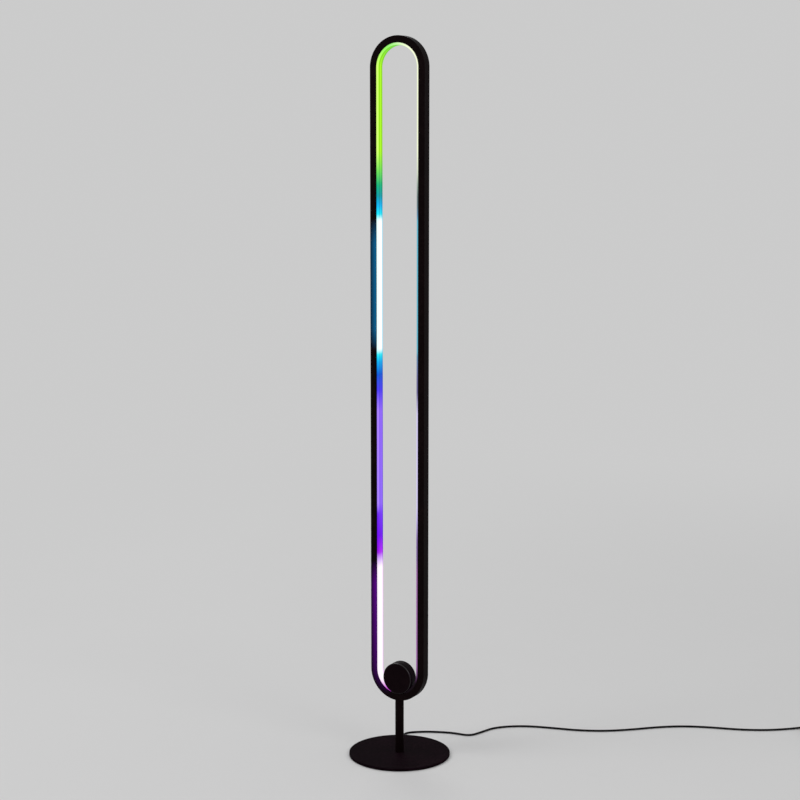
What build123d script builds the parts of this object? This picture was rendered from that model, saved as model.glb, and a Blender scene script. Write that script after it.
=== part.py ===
from build123d import *
import math
import os

# LED floor lamp: a racetrack loop of black channel with a glowing inner strip,
# a control drum in the bottom of the loop, a short pole and a round base.
# Millimetres, +Z up, origin under the middle of the base, loop in the XZ plane, front towards -Y.

# Base
base_diameter = 200.0
plate_thickness = 5.2
plate_edge_round = 0.8
pad_thickness = 0.8
pad_inset = 2.0
pad_hole = 40.0
hub_hole = 12.0
hub_height = 16.0
notch_angle = 24.9
groove_width = 4.8
groove_roof = 1.2

# Cord and the bush that it leaves by
cord_diameter = 4.0
cord_height = 2.2
grommet_width = 7.0
grommet_length = 10.0
grommet_proud = 2.0
grommet_top = 5.0
grommet_bottom = 0.3
lead_bend = 6.5

# Pole and the tube that clamps everything
pole_diameter = 17.0
pole_wall = 1.2
pole_length = 107.8
tube_diameter = 10.0
tube_bore = 6.4
bushing_length = 13.0
tube_start = 4.0

# Loop
loop_height = 1292.4
loop_width = 118.4
channel_depth = 20.0
channel_rise = 13.4
channel_web = 1.6
channel_lip = 1.8
channel_edge_round = 0.8
seat_depth = 4.2
seat_step = 1.4

# Light strip
diffuser_proud = 4.4
diffuser_wall = 1.5
diffuser_round = 1.2
strip_width = 10.0
strip_thickness = 0.4
chip_size = 5.0
chip_height = 1.6
chip_pitch = 33.0

# Drum, from its front to its back
drum_diameter = 62.0
drum_wall = 2.0
dial_thickness = 5.5
dial_face = 1.6
dial_edge_round = 1.0
press_travel = 0.8
front_wall = 2.0
board_thickness = 1.6
rear_space = 3.3
cover_thickness = 2.0
spigot_length = 1.8
spigot_wall = 1.8
foot_length = 20.0
boss_radius = 3.6
boss_bite = 0.6

# Encoder
encoder_size = 12.0
encoder_depth = 6.5
bushing_diameter = 7.0
encoder_nut_size = 10.0
encoder_nut_height = 1.4
shaft_diameter = 6.0
shaft_flat = 1.2
rotor_diameter = 9.2
rotor_thickness = 1.4
rotor_roof = 1.8
dome_diameter = 7.0
dome_thickness = 0.2
hub_diameter = 10.0

# Board pieces
screw_diameter = 2.5
screw_head = 4.6
screw_head_height = 1.2
screw_length = 5.0
terminal_width = 10.0
terminal_height = 9.0
terminal_depth = 6.2
terminal_hole_depth = 3.0
connector_size = 6.0
connector_depth = 4.0
chip_package = 7.0
chip_package_height = 1.2
capacitor_diameter = 6.3
capacitor_height = 5.4
strip_lead_diameter = 2.4

# Coil of spare cord and its tie
coil_turns = 3.0
coil_exit_turns = 2.75
coil_inner_radius = 15.5
coil_pitch = 5.2
coil_heading = 29.4
coil_center = (690.5, 530.3)
tie_width = 8.0
tie_thickness = 0.8
tie_angle = 215.0

# Power adapter beside the coil
adapter_width = 36.0
adapter_length = 44.0
adapter_height = 26.0
adapter_wall = 2.0
adapter_round = 3.0
adapter_face_thickness = 3.0
relief_length = 25.0
relief_small = 5.6
relief_large = 9.0
entry_offset = 9.0
blade_length = 16.0
blade_width = 6.3
blade_thickness = 1.5
blade_spacing = 12.7
adapter_board_height = 5.0
transformer_size = (15.0, 14.0, 11.0)
adapter_capacitor_diameter = 8.0
adapter_capacitor_height = 12.0

# Clearances
running_gap = 0.3
fit_gap = 0.1
thread_gap = 0.05
shaft_gap = 0.05
seat_gap = 0.05
cut_over = 1.0

# Heights and radii worked out from the sizes above
base_radius = base_diameter / 2
base_height = pad_thickness + plate_thickness
groove_ceiling = base_height - groove_roof
loop_bottom = base_height + pole_length
loop_middle = loop_bottom + loop_height / 2
loop_radius = loop_width / 2
loop_straight = loop_height - loop_width
lower_arc_height = loop_bottom + loop_radius
upper_arc_height = lower_arc_height + loop_straight
mouth_width = channel_depth - 2 * channel_lip
trough_width = mouth_width - 2 * seat_step
strip_inset = channel_web + strip_thickness
drum_radius = drum_diameter / 2
drum_bottom = loop_bottom + channel_rise + running_gap
drum_axis = drum_bottom + drum_radius
drum_inner = drum_radius - drum_wall
press_gap = press_travel + running_gap
drum_depth = (dial_thickness + press_gap + front_wall + encoder_depth
              + board_thickness + rear_space + cover_thickness)
drum_front = -drum_depth / 2
drum_back = drum_depth / 2
dial_back = drum_front + dial_thickness
housing_front = dial_back + press_gap
wall_inside = housing_front + front_wall
board_front = wall_inside + encoder_depth
board_back = board_front + board_thickness
cover_inside = drum_back - cover_thickness
tube_top = drum_bottom - 2 * running_gap
tube_bottom = base_height + tube_start
terminal_top = drum_axis - encoder_size / 2 - 2 * running_gap
terminal_bottom = terminal_top - terminal_height
lead_top = terminal_bottom + terminal_hole_depth - fit_gap
cover_boss_circle = drum_inner + boss_bite - boss_radius
board_radius = cover_boss_circle - boss_radius - 2 * running_gap
board_boss_circle = board_radius - boss_radius - 2 * running_gap
cover_boss_angles = (90, 210, 330)
board_boss_angles = (65, 180, 305)
strip_lead_x = -foot_length / 2 - strip_lead_diameter - running_gap
strip_lead_y = board_front - connector_depth / 2
strip_end = -strip_lead_x - strip_lead_diameter / 2
connector_bottom = terminal_top - connector_size
notch = Rot(0, 0, notch_angle)


def post(radius, z_from, z_to, x=0, y=0):
    """Upright cylinder."""
    return Pos(x, y, (z_from + z_to) / 2) * Cylinder(radius, z_to - z_from)


def drum_disc(radius, y_from, y_to, x=0, z=0):
    """Cylinder along Y, placed from the axis of the drum."""
    return Pos(x, (y_from + y_to) / 2, drum_axis + z) * Rot(90, 0, 0) * Cylinder(radius, y_to - y_from)


def block(x_range, y_range, z_range):
    """Box given by its limits."""
    sizes = [high - low for low, high in (x_range, y_range, z_range)]
    middles = [(high + low) / 2 for low, high in (x_range, y_range, z_range)]
    return Pos(*middles) * Box(*sizes)


def loop_prism(inset, depth):
    """The loop's outline, moved inwards by inset, as a solid of the given depth about Y = 0."""
    outline = SlotOverall(loop_height - 2 * inset, loop_width - 2 * inset, rotation=90)
    return extrude(Plane.XZ * Pos(0, loop_middle) * outline, depth / 2, both=True)


def inset_at(point):
    """How far inside the loop's outer outline a point lies."""
    past_straight = max(0, abs(point.Z - loop_middle) - loop_straight / 2)
    return loop_radius - math.hypot(point.X, past_straight)


def on_circle(radius, angle):
    """X and Z from the drum's axis."""
    return radius * math.cos(math.radians(angle)), radius * math.sin(math.radians(angle))


def d_section(radius, flat, y_from, y_to):
    """Round bar along Y on the drum's axis with a flat on its upper side."""
    bar = drum_disc(radius, y_from, y_to)
    top = drum_axis + radius
    return bar - block((-radius, radius), (y_from - cut_over, y_to + cut_over), (top - flat, top + cut_over))


def screw(x, z, seat, direction):
    """Screw along Y: its head lies on the plane Y = seat and its shank runs towards direction."""
    head_end = seat - direction * screw_head_height
    shank_end = seat + direction * screw_length
    head = drum_disc(screw_head / 2, min(seat, head_end), max(seat, head_end), x, z)
    shank = drum_disc(screw_diameter / 2, min(seat, shank_end), max(seat, shank_end), x, z)
    return head + shank


# Base
def make_base_plate():
    plate = post(base_radius, pad_thickness, base_height)
    plate = fillet(plate.edges().group_by(Axis.Z)[-1], plate_edge_round)
    plate -= post(hub_hole / 2, 0, base_height + cut_over)
    groove = block((-groove_width / 2, groove_width / 2), (0, base_radius + cut_over), (0, groove_ceiling))
    half_pocket = grommet_width / 2 + fit_gap
    pocket_start = base_radius + grommet_proud - grommet_length - fit_gap
    pocket_y = (pocket_start, base_radius + cut_over)
    pocket = block((-half_pocket, half_pocket), pocket_y, (0, grommet_top + fit_gap))
    return plate - notch * groove - notch * pocket


def make_base_pad():
    pad = post(base_radius - pad_inset, 0, pad_thickness)
    pad -= post(pad_hole / 2, -cut_over, pad_thickness + cut_over)
    half_slot = grommet_width / 2 + cut_over
    slot = block((-half_slot, half_slot), (0, base_radius), (-cut_over, pad_thickness + cut_over))
    return pad - notch * slot


def make_base_hub():
    hub = post(pole_diameter / 2 - pole_wall - fit_gap, base_height, base_height + hub_height)
    hub += post(hub_hole / 2 - seat_gap, groove_ceiling, base_height)
    return hub - post(tube_diameter / 2 + thread_gap, 0, base_height + hub_height + cut_over)


def make_cord_grommet():
    y_end = base_radius + grommet_proud
    half_width = grommet_width / 2
    bush = block((-half_width, half_width), (y_end - grommet_length, y_end), (grommet_bottom, grommet_top))
    bush = fillet(bush.edges().filter_by(Axis.Y).group_by(Axis.Z)[-1], half_width / 2)
    bore = Pos(0, y_end - grommet_length / 2, cord_height) * Rot(90, 0, 0)
    bush -= bore * Cylinder(cord_diameter / 2 + seat_gap, grommet_length + cut_over)
    return notch * bush


# Pole
def make_pole_tube():
    pole = post(pole_diameter / 2, base_height, loop_bottom + channel_web)
    pole -= post(pole_diameter / 2 - pole_wall, 0, loop_bottom + channel_rise)
    return pole - loop_prism(-seat_gap, 2 * channel_depth)


def make_upper_bushing():
    top = loop_bottom - running_gap
    bushing = post(pole_diameter / 2 - pole_wall - fit_gap, top - bushing_length, top)
    return bushing - post(tube_diameter / 2 + fit_gap, top - bushing_length - cut_over, top + cut_over)


def make_threaded_tube():
    tube = post(tube_diameter / 2, tube_bottom, tube_top)
    return tube - post(tube_bore / 2, tube_bottom - cut_over, tube_top + cut_over)


def make_supply_lead():
    start = notch * Pos(0, base_radius + grommet_proud, cord_height)
    corners = [start.position, (0, 0, cord_height), (0, 0, lead_top)]
    path = FilletPolyline(*corners, radius=lead_bend)
    return sweep(Plane(path @ 0, z_dir=path % 0) * Circle(cord_diameter / 2), path)


# Loop and light: each ring is made whole and then parted where its bends begin
bend_low = (loop_bottom - cut_over, lower_arc_height)
bend_high = (upper_arc_height, loop_bottom + loop_height + cut_over)
straight = (lower_arc_height, upper_arc_height)
left_side = (-loop_width, 0)
right_side = (0, loop_width)
both_sides = (-loop_width, loop_width)


def share(ring, x_range, z_range):
    """The part of a ring that lies within the given limits."""
    return ring & block(x_range, (-channel_depth, channel_depth), z_range)


def make_loop_ring():
    channel = loop_prism(0, channel_depth)
    channel = fillet(channel.faces().filter_by(Axis.Y).edges(), channel_edge_round)
    channel -= loop_prism(channel_rise, channel_depth + 2 * cut_over)
    channel -= loop_prism(channel_rise - seat_depth, mouth_width)
    channel -= loop_prism(channel_web, trough_width)
    tube_hole = post(tube_diameter / 2 + running_gap, loop_bottom - cut_over, loop_bottom + channel_rise)
    return channel - tube_hole


def make_diffuser_ring():
    outer_inset = channel_rise - seat_depth + seat_gap
    inner_inset = channel_rise + diffuser_proud
    width = mouth_width - 2 * fit_gap
    strip = loop_prism(outer_inset, width) - loop_prism(inner_inset, width + cut_over)
    inner_edges = [edge for edge in strip.edges() if abs(inset_at(edge @ 0.5) - inner_inset) < fit_gap]
    rims = [edge for edge in inner_edges if abs((edge @ 0.5).Y) > width / 2 - fit_gap]
    strip = fillet(rims, diffuser_round)
    hollow_width = width - 2 * diffuser_wall
    hollow = loop_prism(outer_inset - cut_over, hollow_width)
    strip -= hollow - loop_prism(inner_inset - diffuser_wall, hollow_width)
    strip -= drum_disc(drum_radius + running_gap, -channel_depth, channel_depth)
    gap_top = loop_bottom + channel_rise + diffuser_proud
    half_gap = -strip_lead_x + strip_lead_diameter
    return strip - block((-half_gap, half_gap), (-channel_depth, channel_depth), (loop_bottom, gap_top))


def make_led_strip():
    strip = loop_prism(channel_web, strip_width) - loop_prism(strip_inset, strip_width + cut_over)
    gap = block((-strip_end, strip_end), (-strip_width, strip_width), (loop_bottom, lower_arc_height))
    return strip - gap


def loop_place(distance, inset):
    """Place on the loop's inner outline, measured from the lowest point to the left and up.
    Its X axis runs along the outline and its Z axis points to the inside."""
    radius = loop_radius - inset
    quarter = radius * math.pi / 2
    spans = (quarter, loop_straight, 2 * quarter, loop_straight, quarter)
    turned = (90.0, 0.0, 180.0, 0.0, 90.0)
    angle = 0.0
    span = 0
    while span < 4 and distance > spans[span]:
        distance -= spans[span]
        angle += turned[span]
        span += 1
    angle += turned[span] * distance / spans[span]
    middle_z = loop_middle + (loop_straight / 2 if span in (2, 3) else -loop_straight / 2)
    along = distance if span == 1 else -distance if span == 3 else 0
    turn = math.radians(angle)
    x = -radius * math.sin(turn)
    z = middle_z + along - radius * math.cos(turn)
    return Pos(x, 0, z) * Rot(0, angle, 0)


def make_led_chips():
    inset = strip_inset + fit_gap
    length = 2 * loop_straight + 2 * math.pi * (loop_radius - inset)
    first = strip_end + chip_pitch / 2
    count = int((length - 2 * first) / chip_pitch) + 1
    chip = Pos(0, 0, chip_height / 2) * Box(chip_size, chip_size, chip_height)
    return Compound([loop_place(first + chip_pitch * index, inset) * chip for index in range(count)])


# Drum
def make_drum_housing():
    shell = drum_disc(drum_radius, housing_front, drum_back)
    shell += drum_disc(drum_inner - running_gap, housing_front - spigot_length, housing_front)
    half_foot = foot_length / 2
    half_width = trough_width / 2 - running_gap
    foot = block((-half_foot, half_foot), (-half_width, half_width), (loop_bottom, drum_bottom + drum_wall))
    foot &= loop_prism(channel_web + seat_gap, channel_depth)
    foot -= drum_disc(drum_radius + running_gap, drum_front - cut_over, housing_front)
    housing = shell + foot
    housing -= drum_disc(drum_inner - running_gap - spigot_wall, drum_front, housing_front)
    housing -= drum_disc(drum_inner, wall_inside, drum_back + cut_over)
    for angle in cover_boss_angles:
        x, z = on_circle(cover_boss_circle, angle)
        housing += drum_disc(boss_radius, wall_inside, cover_inside, x, z)
        housing -= drum_disc(screw_diameter / 2 + thread_gap, board_front, cover_inside + cut_over, x, z)
    for angle in board_boss_angles:
        x, z = on_circle(board_boss_circle, angle)
        housing += drum_disc(boss_radius, wall_inside, board_front, x, z)
        housing -= drum_disc(screw_diameter / 2 + thread_gap, wall_inside, board_front + cut_over, x, z)
    housing -= drum_disc(bushing_diameter / 2 + fit_gap, housing_front - cut_over, wall_inside + cut_over)
    housing -= post(tube_diameter / 2 + thread_gap, loop_bottom, tube_top + fit_gap)
    housing -= post(cord_diameter / 2 + running_gap, tube_top, lead_top)
    lead_hole = strip_lead_diameter / 2 + running_gap
    return housing - post(lead_hole, loop_bottom, connector_bottom, strip_lead_x, strip_lead_y)


def make_drum_back_cover():
    cover = drum_disc(drum_inner - fit_gap, cover_inside, drum_back)
    for angle in cover_boss_angles:
        x, z = on_circle(cover_boss_circle, angle)
        seat = drum_back - screw_head_height
        cover -= drum_disc(screw_diameter / 2 + fit_gap, cover_inside - cut_over, drum_back, x, z)
        cover -= drum_disc(screw_head / 2 + fit_gap, seat, drum_back + cut_over, x, z)
    return cover


def make_cover_screws():
    places = [on_circle(cover_boss_circle, angle) for angle in cover_boss_angles]
    return Compound([screw(x, z, drum_back - screw_head_height, -1) for x, z in places])


# Controller board
def make_controller_board():
    board = drum_disc(board_radius, board_front, board_back)
    for angle in board_boss_angles:
        x, z = on_circle(board_boss_circle, angle)
        hole = screw_diameter / 2 + fit_gap
        board -= drum_disc(hole, board_front - cut_over, board_back + cut_over, x, z)
    return board


def make_board_screws():
    places = [on_circle(board_boss_circle, angle) for angle in board_boss_angles]
    return Compound([screw(x, z, board_back, -1) for x, z in places])


def make_power_terminal():
    half_width = terminal_width / 2
    y_range = (board_front - terminal_depth, board_front)
    terminal = block((-half_width, half_width), y_range, (terminal_bottom, terminal_top))
    hole_top = terminal_bottom + terminal_hole_depth
    return terminal - post(cord_diameter / 2 + fit_gap, terminal_bottom - cut_over, hole_top)


def make_strip_connector():
    x_range = (strip_lead_x - connector_size / 2, strip_lead_x + connector_size / 2)
    y_range = (board_front - connector_depth, board_front)
    z_range = (connector_bottom, terminal_top)
    return block(x_range, y_range, z_range)


def make_strip_lead():
    far_side = -strip_lead_x + strip_lead_diameter / 2
    strip_face = lower_arc_height - math.sqrt((loop_radius - strip_inset) ** 2 - far_side ** 2)
    return post(strip_lead_diameter / 2, strip_face + fit_gap, connector_bottom, strip_lead_x, strip_lead_y)


def make_control_chip():
    half = chip_package / 2
    x_middle = encoder_size / 2 + 2 * running_gap + half
    y_range = (board_front - chip_package_height, board_front)
    return block((x_middle - half, x_middle + half), y_range, (drum_axis - half, drum_axis + half))


def make_filter_capacitor():
    radius = capacitor_diameter / 2
    x = -encoder_size / 2 - 2 * running_gap - radius
    return drum_disc(radius, board_front - capacitor_height, board_front, x, radius)


# Encoder and dial
bushing_end = wall_inside - front_wall - encoder_nut_height
rotor_front = wall_inside + rotor_roof
rotor_back = rotor_front + rotor_thickness
shaft_front = drum_front + dial_face + fit_gap
shaft_back = rotor_back + running_gap
dome_front = shaft_back + press_travel + running_gap
cavity_back = dome_front + dome_thickness + fit_gap
dial_hub_back = bushing_end - press_travel - running_gap


def make_encoder_body():
    half = encoder_size / 2
    body = block((-half, half), (wall_inside, board_front), (drum_axis - half, drum_axis + half))
    body += drum_disc(bushing_diameter / 2, bushing_end, wall_inside)
    body -= drum_disc(shaft_diameter / 2 + shaft_gap, bushing_end - cut_over, rotor_front)
    return body - drum_disc(rotor_diameter / 2 + running_gap, rotor_front - fit_gap, cavity_back)


def make_encoder_nut():
    hexagon = RegularPolygon(encoder_nut_size / 2, 6, major_radius=False)
    nut = extrude(Plane((0, housing_front, drum_axis), z_dir=(0, -1, 0)) * hexagon, encoder_nut_height)
    return nut - drum_disc(bushing_diameter / 2 + thread_gap, bushing_end - cut_over, wall_inside)


def make_switch_dome():
    return drum_disc(dome_diameter / 2, dome_front, dome_front + dome_thickness)


def make_encoder_rotor():
    rotor = drum_disc(rotor_diameter / 2, rotor_front, rotor_back)
    hole_radius = shaft_diameter / 2 + shaft_gap
    return rotor - d_section(hole_radius, shaft_flat, rotor_front - cut_over, rotor_back + cut_over)


def make_encoder_shaft():
    return d_section(shaft_diameter / 2, shaft_flat, shaft_front, shaft_back)


def make_control_dial():
    dial = drum_disc(drum_radius, drum_front, dial_back)
    dial = fillet(dial.edges().group_by(Axis.Y)[0], dial_edge_round)
    face_inside = drum_front + dial_face
    dial -= drum_disc(drum_inner, face_inside, dial_back + cut_over)
    dial += drum_disc(hub_diameter / 2, face_inside, dial_hub_back)
    hole_radius = shaft_diameter / 2 + shaft_gap
    return dial - d_section(hole_radius, shaft_flat, face_inside, dial_hub_back + cut_over)


# Free cord: hand-chosen points on the floor between the exit and the coil
cord_points = (
    (-47.3, 112.3), (-37.8, 123.9), (-18.4, 138.3), (7.0, 150.4), (38.1, 160.4), (74.8, 160.5),
    (85.9, 197.7), (94.3, 227.7), (118.5, 254.0), (154.6, 275.5), (202.3, 288.7), (254.9, 301.1),
    (305.7, 325.2), (349.5, 361.4), (389.2, 401.0), (435.0, 433.8), (487.7, 454.3), (541.6, 468.6),
    (590.6, 491.7), (630.2, 523.2),
)
exit_run = 10.0
coil_run = 20.0
coil_height = tie_thickness + running_gap + cord_diameter / 2
layer_rise = coil_pitch
coil_outer_radius = coil_inner_radius + coil_pitch * coil_turns
coil_end_radius = coil_inner_radius + coil_pitch * coil_exit_turns
coil_place = Pos(*coil_center, 0) * Rot(0, 0, coil_heading)


def place_point(local):
    """A point given in the coil's own axes."""
    return (coil_place * Pos(*local)).position


def make_power_cord():
    start = (notch * Pos(0, base_radius + grommet_proud, cord_height)).position
    second = (notch * Pos(0, base_radius + grommet_proud + exit_run, cord_height)).position
    end = place_point((-cord_diameter, coil_outer_radius, coil_height))
    last_but_one = place_point((-cord_diameter - coil_run, coil_outer_radius, coil_height))
    middle = [Vector(x, y, cord_height) for x, y in cord_points]
    points = [start, second, *middle, last_but_one, end]
    runs = [after - before for before, after in zip(points, points[1:])]
    radii = []
    for before, after in zip(runs, runs[1:]):
        half_turn = math.radians(before.get_angle(after)) / 2
        radii.append(0.45 * min(before.length, after.length) / math.tan(half_turn))
    path = FilletPolyline(*points, radius=radii)
    cord = sweep(Plane(path @ 0, z_dir=path % 0) * Circle(cord_diameter / 2), path)
    section = math.pi * cord_diameter ** 2 / 4
    print("cord length", round(path.length, 1), "volume over section times length",
          round(cord.volume / (section * path.length), 4))
    print("cord runs", [round(run.length) for run in runs])
    print("cord radii", [round(radius) for radius in radii])
    return cord


# Coil: a layer that winds in, a half turn that climbs, a layer that winds out
climb_turns = 0.5
total_turns = coil_turns + climb_turns + coil_exit_turns
steps_per_turn = 4


def coil_point(turn):
    """Point of the coil's centre line in the coil's own axes, after so many turns from the entry."""
    if turn < coil_turns:
        radius = coil_outer_radius - coil_pitch * turn
        climb = 0.0
    elif turn < coil_turns + climb_turns:
        radius = coil_inner_radius
        share = (turn - coil_turns) / climb_turns
        climb = share * share * (3 - 2 * share)
    else:
        radius = coil_inner_radius + coil_pitch * (turn - coil_turns - climb_turns)
        climb = 1.0
    angle = math.radians(90 - 360 * turn)
    return Vector(radius * math.cos(angle), radius * math.sin(angle), coil_height + layer_rise * climb)


def coil_direction(turn):
    """Heading of the coil's centre line, square at both of its ends."""
    if turn <= 0:
        return Vector(1, 0, 0)
    if turn >= total_turns:
        return Vector(0, -1, 0)
    reach = 0.01
    return (coil_point(turn + reach) - coil_point(turn - reach)).normalized()


def biarc(start, start_way, end, end_way):
    """Two arcs that leave start along start_way, meet smoothly and reach end along end_way."""
    across = end - start
    ways = start_way + end_way
    spare = 2 * (1 - start_way.dot(end_way))
    along = across.dot(ways)
    reach = (-along + math.sqrt(along ** 2 + spare * across.dot(across))) / spare
    middle = (start + end + (start_way - end_way) * reach) * 0.5
    first = Edge.make_tangent_arc(start, start_way, middle)
    return [first, Edge.make_tangent_arc(middle, first % 1, end)]


def least_gap(points, skip):
    """Smallest clear space between turns of a tube along the points, leaving out near neighbours."""
    gaps = [(points[i] - points[j]).length - cord_diameter
            for i in range(len(points)) for j in range(i + skip, len(points))]
    return min(gaps)


def make_cord_coil():
    count = round(total_turns * steps_per_turn)
    turns = [total_turns * step / count for step in range(count + 1)]
    nodes = [coil_point(turn) for turn in turns]
    ways = [coil_direction(turn) for turn in turns]
    edges = [Edge.make_line(nodes[0] - ways[0] * cord_diameter, nodes[0])]
    for index in range(count):
        edges += biarc(nodes[index], ways[index], nodes[index + 1], ways[index + 1])
    edges.append(Edge.make_line(nodes[-1], nodes[-1] + ways[-1] * cord_diameter))
    path = Wire(edges)
    tube = sweep(Plane(path @ 0, z_dir=path % 0) * Circle(cord_diameter / 2), path)
    samples_per_turn = 48
    sample_count = round(total_turns * samples_per_turn) + 1
    samples = [coil_point(step / samples_per_turn) for step in range(sample_count)]
    section = math.pi * cord_diameter ** 2 / 4
    print("coil length", round(path.length, 1), "volume over section times length",
          round(tube.volume / (section * path.length), 4))
    print("coil least gap between turns", round(least_gap(samples, samples_per_turn // 2), 2))
    return coil_place * tube


def make_coil_tie():
    low_radius = coil_inner_radius - cord_diameter / 2 - 2 * running_gap
    high_radius = coil_outer_radius + cord_diameter / 2 + 2 * running_gap
    low = coil_height - cord_diameter / 2 - running_gap
    high = coil_height + layer_rise + cord_diameter / 2 + running_gap
    width = high_radius - low_radius
    height = high - low
    corner = cord_diameter / 2
    outer = RectangleRounded(width + 2 * tie_thickness, height + 2 * tie_thickness, corner + tie_thickness)
    band = outer - RectangleRounded(width, height, corner)
    middle = Pos((low_radius + high_radius) / 2, 0, (low + high) / 2)
    tie = extrude(Plane.XZ * band, tie_width / 2, both=True)
    return coil_place * Rot(0, 0, tie_angle) * middle * tie


# Adapter, made in the coil's own axes: its lead enters along -Y at the coil's last point
adapter_x = coil_end_radius + entry_offset
relief_start = -cord_diameter
shell_start = relief_start - relief_length
shell_end = shell_start - adapter_length
face_end = shell_end - adapter_face_thickness
entry_height = coil_height + layer_rise
board_y_range = (shell_end + 2 * adapter_wall, shell_start - 2 * adapter_wall)
board_top = adapter_board_height + board_thickness


def adapter_block(half_width, y_range, z_range):
    return block((adapter_x - half_width, adapter_x + half_width), y_range, z_range)


def make_adapter_shell():
    shell = adapter_block(adapter_width / 2, (shell_end, shell_start), (0, adapter_height))
    shell = fillet(shell.edges().filter_by(Axis.Y), adapter_round)
    shell = fillet(shell.faces().sort_by(Axis.Y)[-1].edges(), adapter_round / 2)
    half_cavity = adapter_width / 2 - adapter_wall
    cavity_z = (adapter_wall, adapter_height - adapter_wall)
    shell -= adapter_block(half_cavity, (shell_end - cut_over, shell_start - adapter_wall), cavity_z)
    return coil_place * shell


def make_adapter_face():
    face = adapter_block(adapter_width / 2, (face_end, shell_end), (0, adapter_height))
    face = fillet(face.edges().filter_by(Axis.Y), adapter_round)
    plug_gap = adapter_wall + fit_gap
    plug_z = (plug_gap, adapter_height - plug_gap)
    face += adapter_block(adapter_width / 2 - plug_gap, (shell_end, shell_end + adapter_wall), plug_z)
    for blade_x in (-blade_spacing / 2, blade_spacing / 2):
        half = blade_thickness / 2 + seat_gap
        x_range = (adapter_x + blade_x - half, adapter_x + blade_x + half)
        half_height = blade_width / 2 + seat_gap
        z_range = (adapter_height / 2 - half_height, adapter_height / 2 + half_height)
        face -= block(x_range, (face_end - cut_over, shell_end + adapter_wall + cut_over), z_range)
    return coil_place * face


def make_adapter_blades():
    blades = []
    for blade_x in (-blade_spacing / 2, blade_spacing / 2):
        x_range = (adapter_x + blade_x - blade_thickness / 2, adapter_x + blade_x + blade_thickness / 2)
        z_range = (adapter_height / 2 - blade_width / 2, adapter_height / 2 + blade_width / 2)
        blade = block(x_range, (face_end - blade_length, shell_end + adapter_wall), z_range)
        blades.append(coil_place * chamfer(blade.faces().sort_by(Axis.Y)[0].edges(), blade_thickness / 4))
    return Compound(blades)


def make_adapter_strain_relief():
    middle = (relief_start + shell_start) / 2
    place = Pos(coil_end_radius, middle, entry_height) * Rot(90, 0, 0)
    return coil_place * place * Cone(relief_small / 2, relief_large / 2, relief_length)


def make_adapter_board():
    half_width = adapter_width / 2 - adapter_wall - fit_gap
    return coil_place * adapter_block(half_width, board_y_range, (adapter_board_height, board_top))


def make_adapter_transformer():
    width, length, height = transformer_size
    y_low = board_y_range[0] + adapter_wall
    winding = adapter_block(width / 2, (y_low, y_low + length), (board_top, board_top + height))
    return coil_place * fillet(winding.edges().filter_by(Axis.Z), adapter_wall)


def make_adapter_capacitors():
    y = board_y_range[1] - adapter_capacitor_diameter / 2 - adapter_wall
    cans = []
    for side in (-1, 1):
        x = adapter_x + side * (adapter_capacitor_diameter / 2 + adapter_wall)
        can = post(adapter_capacitor_diameter / 2, board_top, board_top + adapter_capacitor_height, x, y)
        cans.append(coil_place * can)
    return Compound(cans)


loop_ring = make_loop_ring()
diffuser_ring = make_diffuser_ring()

pieces = {
    "base_plate": make_base_plate,
    "base_pad": make_base_pad,
    "base_hub": make_base_hub,
    "cord_grommet": make_cord_grommet,
    "pole_tube": make_pole_tube,
    "upper_bushing": make_upper_bushing,
    "threaded_tube": make_threaded_tube,
    "supply_lead": make_supply_lead,
    "loop_left_leg": lambda: share(loop_ring, left_side, straight),
    "loop_right_leg": lambda: share(loop_ring, right_side, straight),
    "loop_top_bend": lambda: share(loop_ring, both_sides, bend_high),
    "loop_bottom_bend": lambda: share(loop_ring, both_sides, bend_low),
    "diffuser_left_leg": lambda: share(diffuser_ring, left_side, straight),
    "diffuser_right_leg": lambda: share(diffuser_ring, right_side, straight),
    "diffuser_top_bend": lambda: share(diffuser_ring, both_sides, bend_high),
    "diffuser_left_end": lambda: share(diffuser_ring, left_side, bend_low),
    "diffuser_right_end": lambda: share(diffuser_ring, right_side, bend_low),
    "led_strip": make_led_strip,
    "led_chips": make_led_chips,
    "drum_housing": make_drum_housing,
    "drum_back_cover": make_drum_back_cover,
    "cover_screws": make_cover_screws,
    "controller_board": make_controller_board,
    "board_screws": make_board_screws,
    "power_terminal": make_power_terminal,
    "strip_connector": make_strip_connector,
    "strip_lead": make_strip_lead,
    "control_chip": make_control_chip,
    "filter_capacitor": make_filter_capacitor,
    "encoder_body": make_encoder_body,
    "encoder_nut": make_encoder_nut,
    "switch_dome": make_switch_dome,
    "encoder_rotor": make_encoder_rotor,
    "encoder_shaft": make_encoder_shaft,
    "control_dial": make_control_dial,
    "power_cord": make_power_cord,
    "cord_coil": make_cord_coil,
    "coil_tie": make_coil_tie,
    "adapter_shell": make_adapter_shell,
    "adapter_face": make_adapter_face,
    "adapter_blades": make_adapter_blades,
    "adapter_strain_relief": make_adapter_strain_relief,
    "adapter_board": make_adapter_board,
    "adapter_transformer": make_adapter_transformer,
    "adapter_capacitors": make_adapter_capacitors,
}

os.makedirs("parts", exist_ok=True)
for name, make in pieces.items():
    export_step(make(), f"parts/{name}.step")
print(len(pieces), "pieces written")
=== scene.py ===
import bmesh
import bpy
import math
from mathutils import Matrix, Vector


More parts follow.
